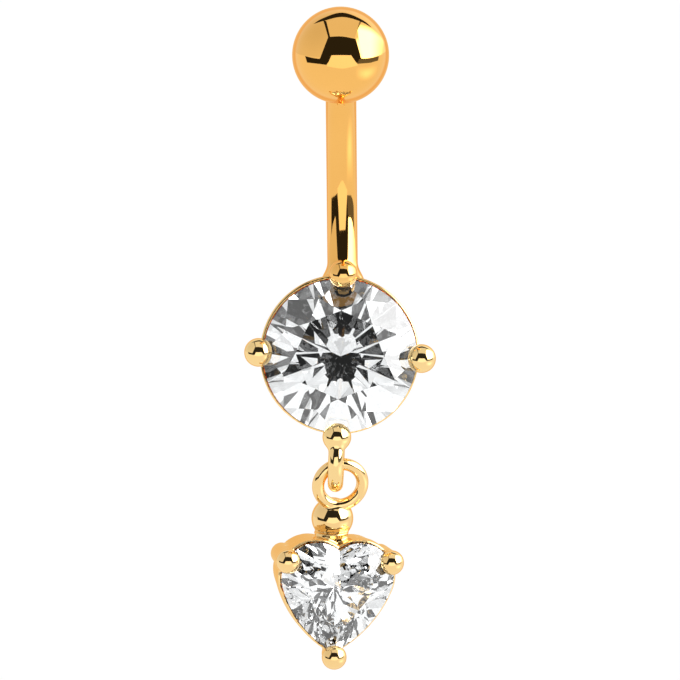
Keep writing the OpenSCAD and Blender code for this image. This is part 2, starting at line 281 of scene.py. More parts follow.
def cast_piece(name, form, node):
    """Makes a closed mesh of a form, given in mm, with the form's own smooth normals."""
    low, high = (np.array(corner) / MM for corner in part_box(node))
    low, high = low - MARGIN, high + MARGIN
    count = [math.ceil(n / BLOCK) * BLOCK for n in (high - low) / MESH_STEP + 2]
    grid = filled_grid(form, low, MESH_STEP, count)
    points, number = crossing_points(grid)
    points = low + MESH_STEP * points
    quads = crossing_quads(grid, number)
    for _ in range(EVENING_ROUNDS):
        points = settled(form, evened(points, quads), SETTLING_ROUNDS)
    normals = slopes(form, points)
    normals /= np.linalg.norm(normals, axis=1)[:, None]
    mesh = bpy.data.meshes.new(name)
    mesh.vertices.add(len(points))
    mesh.vertices.foreach_set("co", (points * MM).astype(np.float32).ravel())
    mesh.loops.add(len(quads) * 4)
    mesh.loops.foreach_set("vertex_index", quads.astype(np.int32).ravel())
    mesh.polygons.add(len(quads))
    mesh.polygons.foreach_set("loop_start", np.arange(0, len(quads) * 4, 4, dtype=np.int32))
    mesh.update(calc_edges=True)
    mesh.validate()
    mesh.shade_smooth()
    mesh.normals_split_custom_set_from_vertices(normals)
    piece = new_object(name, mesh)
    print(f"{name}: {len(quads) * 2} triangles")
    return piece


# %% [markdown]
# ## The bar's curve
#
# A navel ring's bar is a rod of 14 gauge, 1.6 mm thick, bent round a former. Its curve is set out
# first, because the ball screws onto its upper end and the setting is soldered to its lower end.

# %% The bar's curve
BAR_R, BEND_R = 0.8, 10.0
BAR_SPAN = 10.0  # from end to end in a straight line
BAR_LEAN = 10.5  # degrees that the bar leans, its top to the front
BAR_SINK = 0.7  # by how much the foot runs on into the solder

half_arc = math.degrees(math.asin(BAR_SPAN / (2 * BEND_R)))
top_angle = half_arc + BAR_LEAN
foot_angle = BAR_LEAN - half_arc - math.degrees(BAR_SINK / BEND_R)
lean = math.radians(BAR_LEAN)
bend_centre = np.array([0, -BEND_R * math.cos(lean), -BEND_R * math.sin(lean)])


def on_bend(degrees):
    """The middle of the bar at this angle of its bend."""
    a = math.radians(degrees)
    return bend_centre + BEND_R * np.array([0, math.cos(a), math.sin(a)])


bar_top = Place(on_bend(top_angle), turn("X", top_angle))
bar_foot = Place(on_bend(foot_angle), turn("X", foot_angle))
print("bar from", bar_foot.origin.round(3), "to", bar_top.origin.round(3))

# %% [markdown]
# ## The ball
#
# A plain polished bead, turned from rod and threaded underneath. Its flat seat meets the end of
# the bar, and a blind hole takes the bar's pin. A sphere with a boolean would do it too; as a
# formula, the seat's edge is rounded in the same step.

# %% The ball
BALL_R = 2.5
PIN_R, PIN_LENGTH = 0.55, 2.2
SEAT_GAP, PIN_GAP = 0.02, 0.02  # the ball stays clear of the bar's end and of its pin
SEAT_EDGE, HOLE_EDGE = 0.05, 0.03  # how softly these edges are broken
HOLE_START = -1.0  # the hole's cutter starts this far below the seat

ball_rise = SEAT_GAP + math.sqrt(BALL_R**2 - BAR_R**2)
ball_middle = bar_top.outside([0, 0, ball_rise])


def ball_shape(p):
    q = bar_top.inside(p)
    shape = keep_both(ball_form(q, [0, 0, ball_rise], BALL_R), SEAT_GAP - q[:, 2], SEAT_EDGE)
    hole = slab_form(np.hypot(q[:, 0], q[:, 1]) - PIN_R - PIN_GAP, q[:, 2],
                     HOLE_START, PIN_LENGTH + PIN_GAP, SEAT_EDGE)
    return cut_away(shape, hole, HOLE_EDGE)


print("ball's middle", ball_middle.round(3))
ball = cast_piece("ball", ball_shape, "top_ball")
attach(ball, "barbell")
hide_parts("top_ball")

# %% [markdown]
# ## The bar and the round setting
#
# The bar's foot is soldered to the setting: a rail that the stone rests on, four prongs with beads
# bent over the stone, a small ring that gathers the prongs at the back, and a loop of wire below.
# Solder fills the corner round the bar, so that joint has the widest fillet.

# %% Sizes of the round stone
STONE_R = 4.0
HALF_EDGE = 0.1  # half the thickness of the stone's rim
CROWN_TILT, UPPER_STEEPER = 34.5, 7.0  # the front's slope, and what its rim facets add
PAVILION_TILT, LOWER_STEEPER = 41.6, 0.9  # the back's, a little steeper than the CAD's, to sparkle
STONE_GAP = 0.03  # the metal stays this far from the stone

# %% Sizes of the four-prong setting
RAIL_OUT, RAIL_WALL, RAIL_DEPTH = 0.15, 0.75, 0.75
RAIL_UP, RAIL_LEFT = 0.08, 0.05  # the stone isn't set quite in the rail's middle
BASE_R, BASE_WIRE_R, BASE_BACK = 1.8, 0.5, 3.2  # the small ring at the back
PRONG_R, BEAD_R, BEAD_OUT, BEAD_LIFT = 0.44, 0.75, 0.24, 0.4
LOOP_R, LOOP_WIRE_R, LOOP_BELOW, LOOP_BACK = 1.4, 0.4, 1.3, 0.75
SETTING_FRONT, SETTING_OVERLAP = 1.8, 0.35  # how the setting sits against the bar's foot
SETTING_LEAN, SETTING_TURN, SETTING_ROLL = 10.0, 1.0, 2.6

# %% The place of the round setting
rail_r = STONE_R + RAIL_OUT
setting_drop = rail_r - SETTING_OVERLAP
setting_at = bar_foot.origin + turn("X", -SETTING_LEAN) @ np.array(
    [-setting_drop * math.sin(math.radians(SETTING_ROLL)), -SETTING_FRONT, -setting_drop])
standing = turn("Z", -SETTING_TURN) @ turn("X", -SETTING_LEAN) @ turn("Y", SETTING_ROLL)
setting = Place(setting_at, standing @ turn("X", 90))
print("round stone's middle", setting_at.round(3))

# %% The bent bar
BAR_EDGE = 0.05  # the rounding of the bar's end, and round the foot of its pin


def bar_form(p):
    y, z = p[:, 1] - bend_centre[1], p[:, 2] - bend_centre[2]
    tube = np.hypot(np.hypot(y, z) - BEND_R, p[:, 0]) - BAR_R
    angle = np.degrees(np.arctan2(z, y))
    past_end = np.radians(np.maximum(angle - top_angle, foot_angle - angle)) * BEND_R
    bar = keep_both(tube, past_end, BAR_EDGE)
    pin = rod_form(bar_top.inside(p), [0, 0, -BAR_R], [0, 0, PIN_LENGTH - PIN_R], PIN_R)
    return join(bar, pin, BAR_EDGE)


# %% The space that the round stone needs
def stone_form(p, grow):
    """The stone's own outline, a disc between two cones."""
    r = np.hypot(p[:, 0], p[:, 1])
    edge = HALF_EDGE + grow
    crown = math.radians(CROWN_TILT + UPPER_STEEPER)
    pavilion = math.radians(PAVILION_TILT + LOWER_STEEPER)
    above = (r - STONE_R - grow) * math.sin(crown) + (p[:, 2] - edge) * math.cos(crown)
    below = (r - STONE_R - grow) * math.sin(pavilion) - (p[:, 2] + edge) * math.cos(pavilion)
    return np.maximum(np.maximum(above, below), r - STONE_R - grow)


# %% The four-prong setting
RAIL_EDGE = 0.12
SMALL_SOLDER, PRONG_SOLDER, LOOP_SOLDER = 0.1, 0.18, 0.2


def round_setting_form(p):
    q = setting.inside(p)
    r = np.hypot(q[:, 0] + RAIL_LEFT, q[:, 1] - RAIL_UP)
    middle_r = rail_r - RAIL_WALL / 2
    rail = slab_form(np.abs(r - middle_r) - RAIL_WALL / 2, q[:, 2],
                     -HALF_EDGE - RAIL_DEPTH, -HALF_EDGE, RAIL_EDGE)
    shape = join(rail, ring_form(q + [0, 0, BASE_BACK], BASE_R, BASE_WIRE_R), SMALL_SOLDER)
    for quarter in range(4):
        s = q @ turn("Z", 90 * quarter)
        tip = [STONE_R + BEAD_OUT, 0, BEAD_LIFT]
        prong = rod_form(s, [BASE_R, 0, -BASE_BACK], tip, PRONG_R)
        prong = join(prong, ball_form(s, tip, BEAD_R), SMALL_SOLDER)
        shape = join(shape, prong, PRONG_SOLDER)
    s = q + [0, STONE_R + LOOP_BELOW, LOOP_BACK]
    return join(shape, ring_form(s[:, [1, 2, 0]], LOOP_R, LOOP_WIRE_R), LOOP_SOLDER)


# %% The bar and its setting as one cast and soldered piece
BLOB = np.array([1.15, 1.15, 0.9])  # half-widths of the blob of solder round the bar's foot
BLOB_SOLDER, BAR_SOLDER = 0.5, 0.45
STONE_SEAT_EDGE = 0.06
NOT_ZERO = 1e-6  # keeps the division safe in the very middle of the blob


def barbell_shape(p):
    foot = bar_foot.inside(p)
    size = np.linalg.norm(foot / BLOB, axis=1)
    blob = size * (size - 1) / np.maximum(np.linalg.norm(foot / BLOB**2, axis=1), NOT_ZERO)
    shape = join(join(bar_form(p), blob, BLOB_SOLDER), round_setting_form(p), BAR_SOLDER)
    return cut_away(shape, stone_form(setting.inside(p), STONE_GAP), STONE_SEAT_EDGE)


bar_piece = cast_piece("bar_and_round_setting", barbell_shape, "barbell")
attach(bar_piece, "barbell")
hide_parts("barbell")

# %% [markdown]
# ## The drop's metal
#
# A closed ring, a bead, and a heart-shaped gallery with three prongs, all soldered together. The
# ring is threaded through the setting's loop and swings about the wire there, so the whole drop is
# set out from that point. The heart's outline is two circles for the lobes and two long arcs that
# meet at the tip.

# %% Sizes of the ring, the bead and the web below it
DROP_RING_R, DROP_WIRE_R = 1.18, 0.32
HANG_GAP = 0.2  # between the ring's wire and the loop's
RING_HANG, RING_LEAN = 80.0, 14.0  # the ring hangs a little to one side of the wire, and leans
DROP_BEAD_R, DROP_BEAD_BELOW, DROP_BEAD_BACK = 1.1, 1.95, 0.8
NECK_R = 0.5
WEB_TOP_R, WEB_FOOT_R, WEB_BELOW, WEB_FRONT, WEB_SINK = 0.95, 0.45, 0.6, 0.4, 0.2
DROP_YAW, DROP_LEAN = 12.0, 2.5

# %% Sizes of the heart and its setting
HEART_W, LOBE_R, LOBE_UP, HEART_TIP, SIDE_R = 6.0, 1.85, 0.85, 3.15, 6.2
HEART_CROWN, HEART_CROWN_TILT, HEART_HALF_EDGE = 0.85, 36.0, 0.08
HEART_PAVILION, HEART_CULET_UP = 2.65, 0.15  # the back is deeper than in the CAD, to sparkle
HEART_RAIL_OUT, HEART_RAIL_DEPTH = 0.14, 0.9
HEART_WALL, HEART_STEP, HEART_BACK = 0.8, 0.2, 2.6
HEART_BEAD_R, HEART_BEAD_LIFT = 0.65, 0.35
HEART_PRONG_R, HEART_PRONG_LEAN, HEART_PRONG_SHORT, HEART_PRONG_UP = 0.575, 0.15, 0.1, 1.75
TIP_PRONG_R, TIP_PRONG_BACK, TIP_PRONG_DOWN = 0.475, 1.0, 0.2
HEART_BELOW, HEART_FRONT, HEART_LEFT, HEART_ROLL = 5.6, 0.9, 0.14, 3.5

# %% The places of the drop and its heart
setting_lean = math.radians(SETTING_LEAN)
hook = [0, LOOP_BACK + LOOP_R * math.sin(setting_lean),
        -STONE_R - LOOP_BELOW - LOOP_R * math.cos(setting_lean)]
hang_at = Place(setting_at, standing).outside(hook)
drop = Place(hang_at, turn("Z", DROP_YAW) @ turn("X", DROP_LEAN))
ring_swing = DROP_RING_R - DROP_WIRE_R - LOOP_WIRE_R - HANG_GAP
ring_side = math.radians(RING_HANG)
ring_at = ring_swing * np.array([math.sin(ring_side), 0, -math.cos(ring_side)])
drop_bead_at = np.array([0, DROP_BEAD_BACK, ring_at[2] - DROP_BEAD_BELOW])
heart_at = np.array([-HEART_LEFT, -HEART_FRONT, ring_at[2] - HEART_BELOW])
heart = Place(drop.outside(heart_at), drop.turning @ turn("Y", HEART_ROLL) @ turn("X", 90))
print("hinge", hang_at.round(3), "heart's middle", heart.origin.round(3))

# %% The heart's outline
lobe_x = HEART_W / 2 - LOBE_R
side_reach, tip_reach = SIDE_R - LOBE_R, LOBE_UP + HEART_TIP
side_a, side_b = 2 * lobe_x * side_reach, 2 * tip_reach * side_reach
side_k = lobe_x**2 + tip_reach**2 + side_reach**2 - SIDE_R**2
join_angle = math.acos(side_k / math.hypot(side_a, side_b)) - math.atan2(side_b, side_a)
side_x = lobe_x - side_reach * math.cos(join_angle)
side_up = LOBE_UP + side_reach * math.sin(join_angle)
tip_angle = math.atan2(HEART_TIP + side_up, -side_x)
cleft_up = LOBE_UP + math.sqrt(LOBE_R**2 - lobe_x**2)
heart_prong_x = lobe_x + math.sqrt(LOBE_R**2 - (HEART_PRONG_UP - LOBE_UP)**2)
heart_table_z = HEART_HALF_EDGE + HEART_CROWN


def heart_outline(p, grow):
    """Each point's distance in XY to the heart's outline, moved outward by grow."""
    x, y = np.abs(p[:, 0]), p[:, 1]
    lobe = np.hypot(x - lobe_x, y - LOBE_UP) - LOBE_R - grow
    side = np.hypot(x - side_x, y - side_up) - SIDE_R - grow
    shoulder = y - LOBE_UP + (LOBE_R + grow) * math.sin(join_angle)
    return np.minimum(lobe, np.maximum(side, shoulder))


# %% The heart stone's main facets
LOBE_FACETS = range(0, 151, 30)  # degrees round the right lobe, from its side to near the cleft
SIDE_FACETS = (0.25, 0.65, 1.0)  # shares of the way along the side, from the lobe to the tip


def lobe_reach(a):
    """How far the lobe reaches in the direction a."""
    return lobe_x * math.cos(a) + LOBE_UP * math.sin(a) + LOBE_R


def side_reach_at(a):
    """How far the side reaches in the direction a."""
    return side_x * math.cos(a) + side_up * math.sin(a) + SIDE_R


def pavilion_slope(a, reach):
    """The slope of a facet from the edge in the direction a to the stone's back point."""
    return math.atan(HEART_PAVILION / (reach - HEART_CULET_UP * math.sin(a)))


def heart_facets():
    """Direction, distance of the outline and pavilion slope of each facet of one half."""
    facets = [(math.radians(d), lobe_reach(math.radians(d))) for d in LOBE_FACETS]
    for share in SIDE_FACETS:
        a = -join_angle - share * (tip_angle - join_angle)
        facets.append((a, side_reach_at(a)))
    return [(math.degrees(a), reach, math.degrees(pavilion_slope(a, reach)))
            for a, reach in facets]


# %% The space that the heart stone needs
def heart_stone_form(p, grow):
    q = np.column_stack([np.abs(p[:, 0]), p[:, 1], p[:, 2]])
    shape = np.maximum(heart_outline(p, grow), q[:, 2] - heart_table_z - grow)
    for direction, reach, pavilion_tilt in heart_facets():
        for tilt, edge in ((HEART_CROWN_TILT, 1), (pavilion_tilt, -1)):
            t = math.radians(tilt)
            distance = reach * math.sin(t) + HEART_HALF_EDGE * math.cos(t) + grow
            shape = np.maximum(shape, plane_form(q * [1, 1, edge], direction, tilt, distance))
    return shape


# %% The heart's gallery and prongs
STEP_SOLDER, HOLLOW_EDGE = 0.15, 0.1
HEART_BEAD_SOLDER, HEART_PRONG_SOLDER = 0.08, 0.2


def heart_gallery_form(p):
    q = heart.inside(p)
    z = q[:, 2]
    rail = slab_form(heart_outline(q, HEART_RAIL_OUT), z,
                     -HEART_HALF_EDGE - HEART_RAIL_DEPTH, -HEART_HALF_EDGE, RAIL_EDGE)
    wall = slab_form(heart_outline(q, HEART_RAIL_OUT - HEART_STEP), z,
                     -HEART_BACK, -HEART_HALF_EDGE, RAIL_EDGE)
    hollow = heart_outline(q, HEART_RAIL_OUT - HEART_STEP - HEART_WALL)
    shape = cut_away(join(rail, wall, STEP_SOLDER), hollow, HOLLOW_EDGE)
    inward = 1 - HEART_PRONG_LEAN / math.hypot(heart_prong_x, HEART_PRONG_UP)
    prong_back = HEART_BACK - HEART_PRONG_SHORT
    for x, up, share, r, back in (
            (-heart_prong_x, HEART_PRONG_UP, inward, HEART_PRONG_R, prong_back),
            (heart_prong_x, HEART_PRONG_UP, inward, HEART_PRONG_R, prong_back),
            (0, -HEART_TIP - TIP_PRONG_DOWN, 1, TIP_PRONG_R, TIP_PRONG_BACK)):
        tip = [x, up, HEART_BEAD_LIFT]
        prong = rod_form(q, [x * share, up * share, r - back], tip, r)
        prong = join(prong, ball_form(q, tip, HEART_BEAD_R), HEART_BEAD_SOLDER)
        shape = join(shape, prong, HEART_PRONG_SOLDER)
    return shape


# %% The drop's metal as one soldered piece
WEB_SOLDER, NECK_SOLDER, GALLERY_SOLDER = 0.25, 0.05, 0.04
WEB_EDGE, HEART_SEAT_EDGE = 0.12, 0.05


def drop_shape(p):
    q = drop.inside(p)
    leaning = q @ turn("X", RING_LEAN) - ring_at
    ring = ring_form(leaning[:, [0, 2, 1]], DROP_RING_R, DROP_WIRE_R)
    bead = ball_form(q, drop_bead_at, DROP_BEAD_R)
    foot = np.array([heart_at[0], drop_bead_at[1] - WEB_FRONT,
                     heart_at[2] + cleft_up - WEB_SINK])
    neck = rod_form(q, foot, drop_bead_at, NECK_R)
    web_top = [foot[0], foot[1], drop_bead_at[2] - WEB_BELOW]
    web = keep_both(rod_form(q, foot, web_top, WEB_FOOT_R, WEB_TOP_R),
                    q[:, 2] - web_top[2], WEB_EDGE)
    shape = join(join(ring, bead, SMALL_SOLDER), neck, NECK_SOLDER)
    shape = join(shape, join(web, heart_gallery_form(p), WEB_SOLDER), GALLERY_SOLDER)
    return cut_away(shape, heart_stone_form(heart.inside(p), STONE_GAP), HEART_SEAT_EDGE)


drop_piece = cast_piece("drop_and_heart_setting", drop_shape, "heart_setting")
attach(drop_piece, "drop")
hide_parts("heart_setting")

# %% [markdown]
# ## Cut stones
#
# A stone cutter grinds one flat facet after another, each at a set direction and slope. The same
# is done here: a rough blank is cut by a plane for each facet, and what lies outside is thrown
# away. Every facet stays perfectly flat with sharp edges, which is what makes a stone sparkle.
# The rim and the facets behind it get a second material, for the silvering.

# %% Grinding facets
ON_PLANE = 1e-6  # mm, a corner as near as this to a facet's plane lies on it
FLAT_ENOUGH = 0.0005  # radians, faces that meet at less than this are one facet
BACK_FACING = 0.05  # a facet whose normal points less than this to the front is silvered


def grind(bm, direction, tilt, distance):
    """Cuts the stone flat along one facet's plane. Sizes are in mm."""
    a, t = math.radians(direction), math.radians(tilt)
    normal = Vector((math.cos(a) * math.sin(t), math.sin(a) * math.sin(t), math.cos(t)))
    geometry = bm.verts[:] + bm.edges[:] + bm.faces[:]
    bmesh.ops.bisect_plane(bm, geom=geometry, dist=ON_PLANE, plane_co=normal * distance,
                           plane_no=normal, clear_outer=True)
    rim = [e for e in bm.edges if e.is_boundary]
    if rim:
        bmesh.ops.contextual_create(bm, geom=rim)


def stone_piece(name, bm, place):
    """Puts a ground stone in its place as a flat-faced mesh."""
    bmesh.ops.dissolve_limit(bm, angle_limit=FLAT_ENOUGH, verts=bm.verts[:], edges=bm.edges[:])
    bmesh.ops.recalc_face_normals(bm, faces=bm.faces[:])
    for face in bm.faces:
        face.material_index = int(face.normal.z < BACK_FACING)
    mesh = bpy.data.meshes.new(name)
    bm.to_mesh(mesh)
    bm.free()
    moving = Matrix(place.turning).to_4x4()
    moving.translation = Vector(place.origin)
    mesh.transform(Matrix.Scale(MM, 4) @ moving)
    mesh.shade_flat()
    piece = new_object(name, mesh)
    print(f"{name}: {len(mesh.polygons)} facets")
    return piece


# %% [markdown]
# ## The round stone
#
# An 8 mm round brilliant. From the front it shows a flat table, eight star facets round it, eight
# kite-shaped mains and sixteen halves at the rim; behind are eight mains and sixteen halves. The
# blank is a plain drum with enough sides for its rim to look round.

# %% The round stone
TABLE_R = 2.3
STAR_FLATTER = 12.0  # degrees by which the star facets lie flatter than the mains
RIM_SIDES = 96
MAINS = 8
MAIN_TURN = 360 / MAINS  # degrees from one main facet to the next


def round_cut():
    bm = bmesh.new()
    bmesh.ops.create_cone(bm, cap_ends=True, segments=RIM_SIDES, radius1=STONE_R,
                          radius2=STONE_R, depth=2 * STONE_R)
    table_z = HALF_EDGE + (STONE_R - TABLE_R) * math.tan(math.radians(CROWN_TILT))
    grind(bm, 0, 0, table_z)
    chord = STONE_R * math.cos(math.radians(MAIN_TURN / 4))

    def edge_distance(r, tilt):
        t = math.radians(tilt)
        return r * math.sin(t) + HALF_EDGE * math.cos(t)

    star = CROWN_TILT - STAR_FLATTER
    star_r = TABLE_R * math.cos(math.radians(MAIN_TURN / 2))
    s = math.radians(star)
    star_distance = star_r * math.sin(s) + table_z * math.cos(s)
    for i in range(MAINS):
        direction = MAIN_TURN * i
        grind(bm, direction, CROWN_TILT, edge_distance(STONE_R, CROWN_TILT))
        grind(bm, direction + MAIN_TURN / 2, star, star_distance)
        grind(bm, direction, 180 - PAVILION_TILT, edge_distance(STONE_R, PAVILION_TILT))
    upper, lower = CROWN_TILT + UPPER_STEEPER, PAVILION_TILT + LOWER_STEEPER
    for i in range(2 * MAINS):
        direction = MAIN_TURN / 2 * i + MAIN_TURN / 4
        grind(bm, direction, upper, edge_distance(chord, upper))
        grind(bm, direction, 180 - lower, edge_distance(chord, lower))
    return bm


round_stone = stone_piece("round_brilliant", round_cut(), setting)
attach(round_stone, "barbell")
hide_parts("round_stone")

# %% [markdown]
# ## The heart stone
#
# A heart cut has the same kinds of facet as a round one, but each sits at its own distance. One
# half is ground from a blank cut flat down the middle, and mirrored. The small facets between the
# main ones break the light into the many splinters that the photo shows.

# %% The small facets between the heart's main ones
STAR_INWARD = 0.1  # how far inside the table's edge the star facets start
HEART_LOWER_STEEPER, CULET_FLATTER = 2.0, 2.5  # degrees from the main facets' slope
CULET_ROW = 0.4  # where the flatter facets round the back point start, as a share of the reach


def mid_facets():
    """Each pair of neighbouring main facets has four small ones between them: a half facet above
    the edge, a star facet at the table, a half facet below the edge and one at the culet."""
    mains = sorted(heart_facets())
    facets = []
    for (from_a, from_reach, _), (to_a, to_reach, _) in zip(mains, mains[1:]):
        a = math.radians((from_a + to_a) / 2)
        reach = lobe_reach(a) if a > -join_angle else side_reach_at(a)
        table_reach = (from_reach + to_reach) / 2 \
            - HEART_CROWN / math.tan(math.radians(HEART_CROWN_TILT)) - STAR_INWARD
        below = pavilion_slope(a, reach)
        for t, at_r, at_z in (
                (math.radians(HEART_CROWN_TILT + UPPER_STEEPER), reach, HEART_HALF_EDGE),
                (math.radians(HEART_CROWN_TILT - STAR_FLATTER), table_reach, heart_table_z),
                (math.pi - below - math.radians(HEART_LOWER_STEEPER), reach, -HEART_HALF_EDGE),
                (math.pi - below + math.radians(CULET_FLATTER), CULET_ROW * reach,
                 -HEART_HALF_EDGE - (1 - CULET_ROW) * reach * math.tan(below))):
            facets.append((math.degrees(a), math.degrees(t),
                           at_r * math.sin(t) + at_z * math.cos(t)))
    return facets


# %% Grinding one half of the heart
BLANK = 12  # mm, the side of the rough cube
LOBE_CUTS = range(-8, 25)  # cuts round the lobe, each 7.5 degrees from the last
CUT_TURN = 7.5
SIDE_CUTS = 8


def half_heart():
    bm = bmesh.new()
    bmesh.ops.create_cube(bm, size=BLANK)
    grind(bm, 180, 90, 0)
    for i in LOBE_CUTS:
        a = math.radians(i * CUT_TURN)
        if a > -join_angle:
            grind(bm, math.degrees(a), 90, lobe_reach(a))
    for i in range(SIDE_CUTS + 1):
        a = -join_angle - i / SIDE_CUTS * (tip_angle - join_angle)
        grind(bm, math.degrees(a), 90, side_reach_at(a))
    grind(bm, 0, 0, heart_table_z)
    for direction, reach, pavilion_tilt in heart_facets():
        for tilt in (HEART_CROWN_TILT, 180 - pavilion_tilt):
            t = math.radians(tilt)
            distance = reach * math.sin(t) + HEART_HALF_EDGE * abs(math.cos(t))
            grind(bm, direction, tilt, distance)
    for direction, tilt, distance in mid_facets():
        grind(bm, direction, tilt, distance)
    return bm


# %% The whole heart stone
WELD = 1e-4  # mm, corners nearer than this become one


def heart_cut():
    """Half a heart and its mirror image, joined where they meet."""
    bm = half_heart()
    inside = [f for f in bm.faces if all(abs(v.co.x) < WELD for v in f.verts)]
    bmesh.ops.delete(bm, geom=inside, context="FACES_ONLY")
    other = bmesh.ops.duplicate(bm, geom=bm.verts[:] + bm.edges[:] + bm.faces[:])["geom"]
    for v in other:
        if isinstance(v, bmesh.types.BMVert):
            v.co.x = -v.co.x
    bmesh.ops.reverse_faces(bm, faces=[f for f in other if isinstance(f, bmesh.types.BMFace)])
    bmesh.ops.remove_doubles(bm, verts=bm.verts[:], dist=WELD)
    return bm


heart_stone = stone_piece("heart_brilliant", heart_cut(), heart)
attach(heart_stone, "drop")
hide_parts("heart_stone")

# %% [markdown]
# ## Finishes
#
# A finish is a small tree of nodes. Colours are sRGB hex values, as a maker would note them from
# a swatch. Each pattern's scale is worked out from its size on the piece, in millimetres.


# %% Helpers for finishes
def linear(hex_colour):
    """An sRGB hex colour as the linear values that Blender mixes light with."""
    parts = [int(hex_colour[i:i + 2], 16) / 255 for i in (1, 3, 5)]
    return [c / 12.92 if c <= 0.04045 else ((c + 0.055) / 1.055) ** 2.4 for c in parts] + [1.0]


def add(tree, kind, settings=None, **inputs):
    """Adds a node. inputs are its sockets, by name with _ for a space, or as n and a number: a
    value or another socket."""
    node = tree.nodes.new(kind)
    for key, value in (settings or {}).items():
        setattr(node, key, value)
    for key, value in inputs.items():
        socket = node.inputs[int(key[1:])] if key[0] == "n" and key[1:].isdigit() \
            else node.inputs[key.replace("_", " ")]
        if isinstance(value, bpy.types.NodeSocket):
            tree.links.new(value, socket)
        else:
            socket.default_value = value
    return node


def new_finish(name):
    finish = bpy.data.materials.new(name)
    finish.use_nodes = True
    finish.node_tree.nodes.clear()
    return finish, finish.node_tree


def per_metre(size_mm):
    """A noise texture's scale for a pattern of this size."""
    return 1 / (size_mm * MM)


# %% [markdown]
# ## Polished gold plating
#
# The metal is brass with a thin layer of gold, polished on a wheel. It gives the eye a warm
# mirror, with faint softening where the wheel pulled the surface. The ball and the bar are nearly
# true. The cast parts below swell a little under the gold and are paler. One function makes all
# three golds, with more haze and more swell for the cast parts.

# %% Polished gold plating
TONE_PATCH = 1.6  # mm, the size of the patches in which the plating is lighter or deeper
WHEEL_RUB = 0.35  # mm; a wheel's real marks are too fine to show, so they are drawn coarser
CAST_SWELL = 0.9  # mm, the size of the swells in the metal under the gold
CLEAREST = 0.02  # roughness where the polish is best
RUB_FROM, RUB_TO = 0.3, 0.75  # what the noise gives where the polish is best and softest


def gold_plating(name, light, deep, haze, wave, below=None):
    """light and deep are the two near tones of the plating. haze is the roughness where the polish
    is softest, and wave is how high the swells are, in mm. below is a paler tone for the cast
    parts under the bar, and the two heights in mm between which the plating turns to it."""
    finish, tree = new_finish(name)
    where = add(tree, "ShaderNodeTexCoord").outputs["Object"]
    patch = add(tree, "ShaderNodeTexNoise", Vector=where, Scale=per_metre(TONE_PATCH), Detail=2.0)
    tone = add(tree, "ShaderNodeMix", {"data_type": "RGBA"}, n0=patch.outputs["Fac"],
               n6=linear(light), n7=linear(deep))
    if below:
        height = add(tree, "ShaderNodeSeparateXYZ", Vector=where).outputs[2]
        share = add(tree, "ShaderNodeMapRange", Value=height, From_Min=below[1] * MM,
                    From_Max=below[2] * MM)
        tone = add(tree, "ShaderNodeMix", {"data_type": "RGBA"}, n0=share.outputs[0],
                   n6=tone.outputs[2], n7=linear(below[0]))
    rub = add(tree, "ShaderNodeTexNoise", Vector=where, Scale=per_metre(WHEEL_RUB), Detail=3.0)
    soft = add(tree, "ShaderNodeMapRange", Value=rub.outputs["Fac"], From_Min=RUB_FROM,
               From_Max=RUB_TO, To_Min=CLEAREST, To_Max=haze)
    swell = add(tree, "ShaderNodeTexNoise", Vector=where, Scale=per_metre(CAST_SWELL), Detail=1.0)
    relief = add(tree, "ShaderNodeBump", Height=swell.outputs["Fac"], Distance=wave * MM,
                 Strength=1.0)
    shader = add(tree, "ShaderNodeBsdfPrincipled", Base_Color=tone.outputs[2], Metallic=1.0,
                 Roughness=soft.outputs[0], Normal=relief.outputs[0])
    add(tree, "ShaderNodeOutputMaterial", Surface=shader.outputs[0])
    return finish


ball_gold = gold_plating("gold_plating_on_ball", "#F8BE68", "#F4B963", 0.05, 0.0005)
bar_gold = gold_plating("gold_plating_on_bar", "#F6BC67", "#F1B660", 0.08, 0.003,
                        ("#F7D594", -4.5, -6.5))
drop_gold = gold_plating("gold_plating_on_drop", "#F8D698", "#F5CC88", 0.08, 0.006)
for piece, finish in ((ball, ball_gold), (bar_piece, bar_gold), (drop_piece, drop_gold)):
    piece.data.materials.append(finish)
    print(piece.name, "is finished in", finish.name)

# %% [markdown]
# ## Clear zirconia with a silvered back
#
# The stones are cubic zirconia: clear, hard, and with a refraction of 2.16, well above glass. In
# the photo no gold shows through them. Whether the real ones are coated isn't known, so a thin
# mirror coat on the rim and the facets behind it is a guess. It throws back the light that comes
# in, and each facet shows the eye a bright part of the studio or the dark opening for the camera.

# %% Clear zirconia
POLISH_SPOT = 0.5  # mm; the real marks of polishing are too fine to show, so this is coarser
SPOT_FROM, SPOT_TO = 0.4, 0.8  # what the noise gives where the polish is best and softest
SOFTEST = 0.012  # roughness where the polish is softest


def zirconia(name, tint):
    """Clear cubic zirconia, polished facet by facet. Its outer shine is set low, because the
    photo's dark facets stay dark under the pale tent."""
    finish, tree = new_finish(name)
    where = add(tree, "ShaderNodeTexCoord").outputs["Object"]
    polish = add(tree, "ShaderNodeTexNoise", Vector=where, Scale=per_metre(POLISH_SPOT),
                 Detail=2.0)
    soft = add(tree, "ShaderNodeMapRange", Value=polish.outputs["Fac"], From_Min=SPOT_FROM,
               From_Max=SPOT_TO, To_Min=0.0, To_Max=SOFTEST)
    shader = add(tree, "ShaderNodeBsdfPrincipled", Base_Color=linear(tint), IOR=2.16,
                 Transmission_Weight=1.0, Roughness=soft.outputs[0], Specular_IOR_Level=0.08)
    add(tree, "ShaderNodeOutputMaterial", Surface=shader.outputs[0])
    return finish


# %% The silvered back
COAT_PATCH = 0.8  # mm, the size of the patches of a sprayed coat


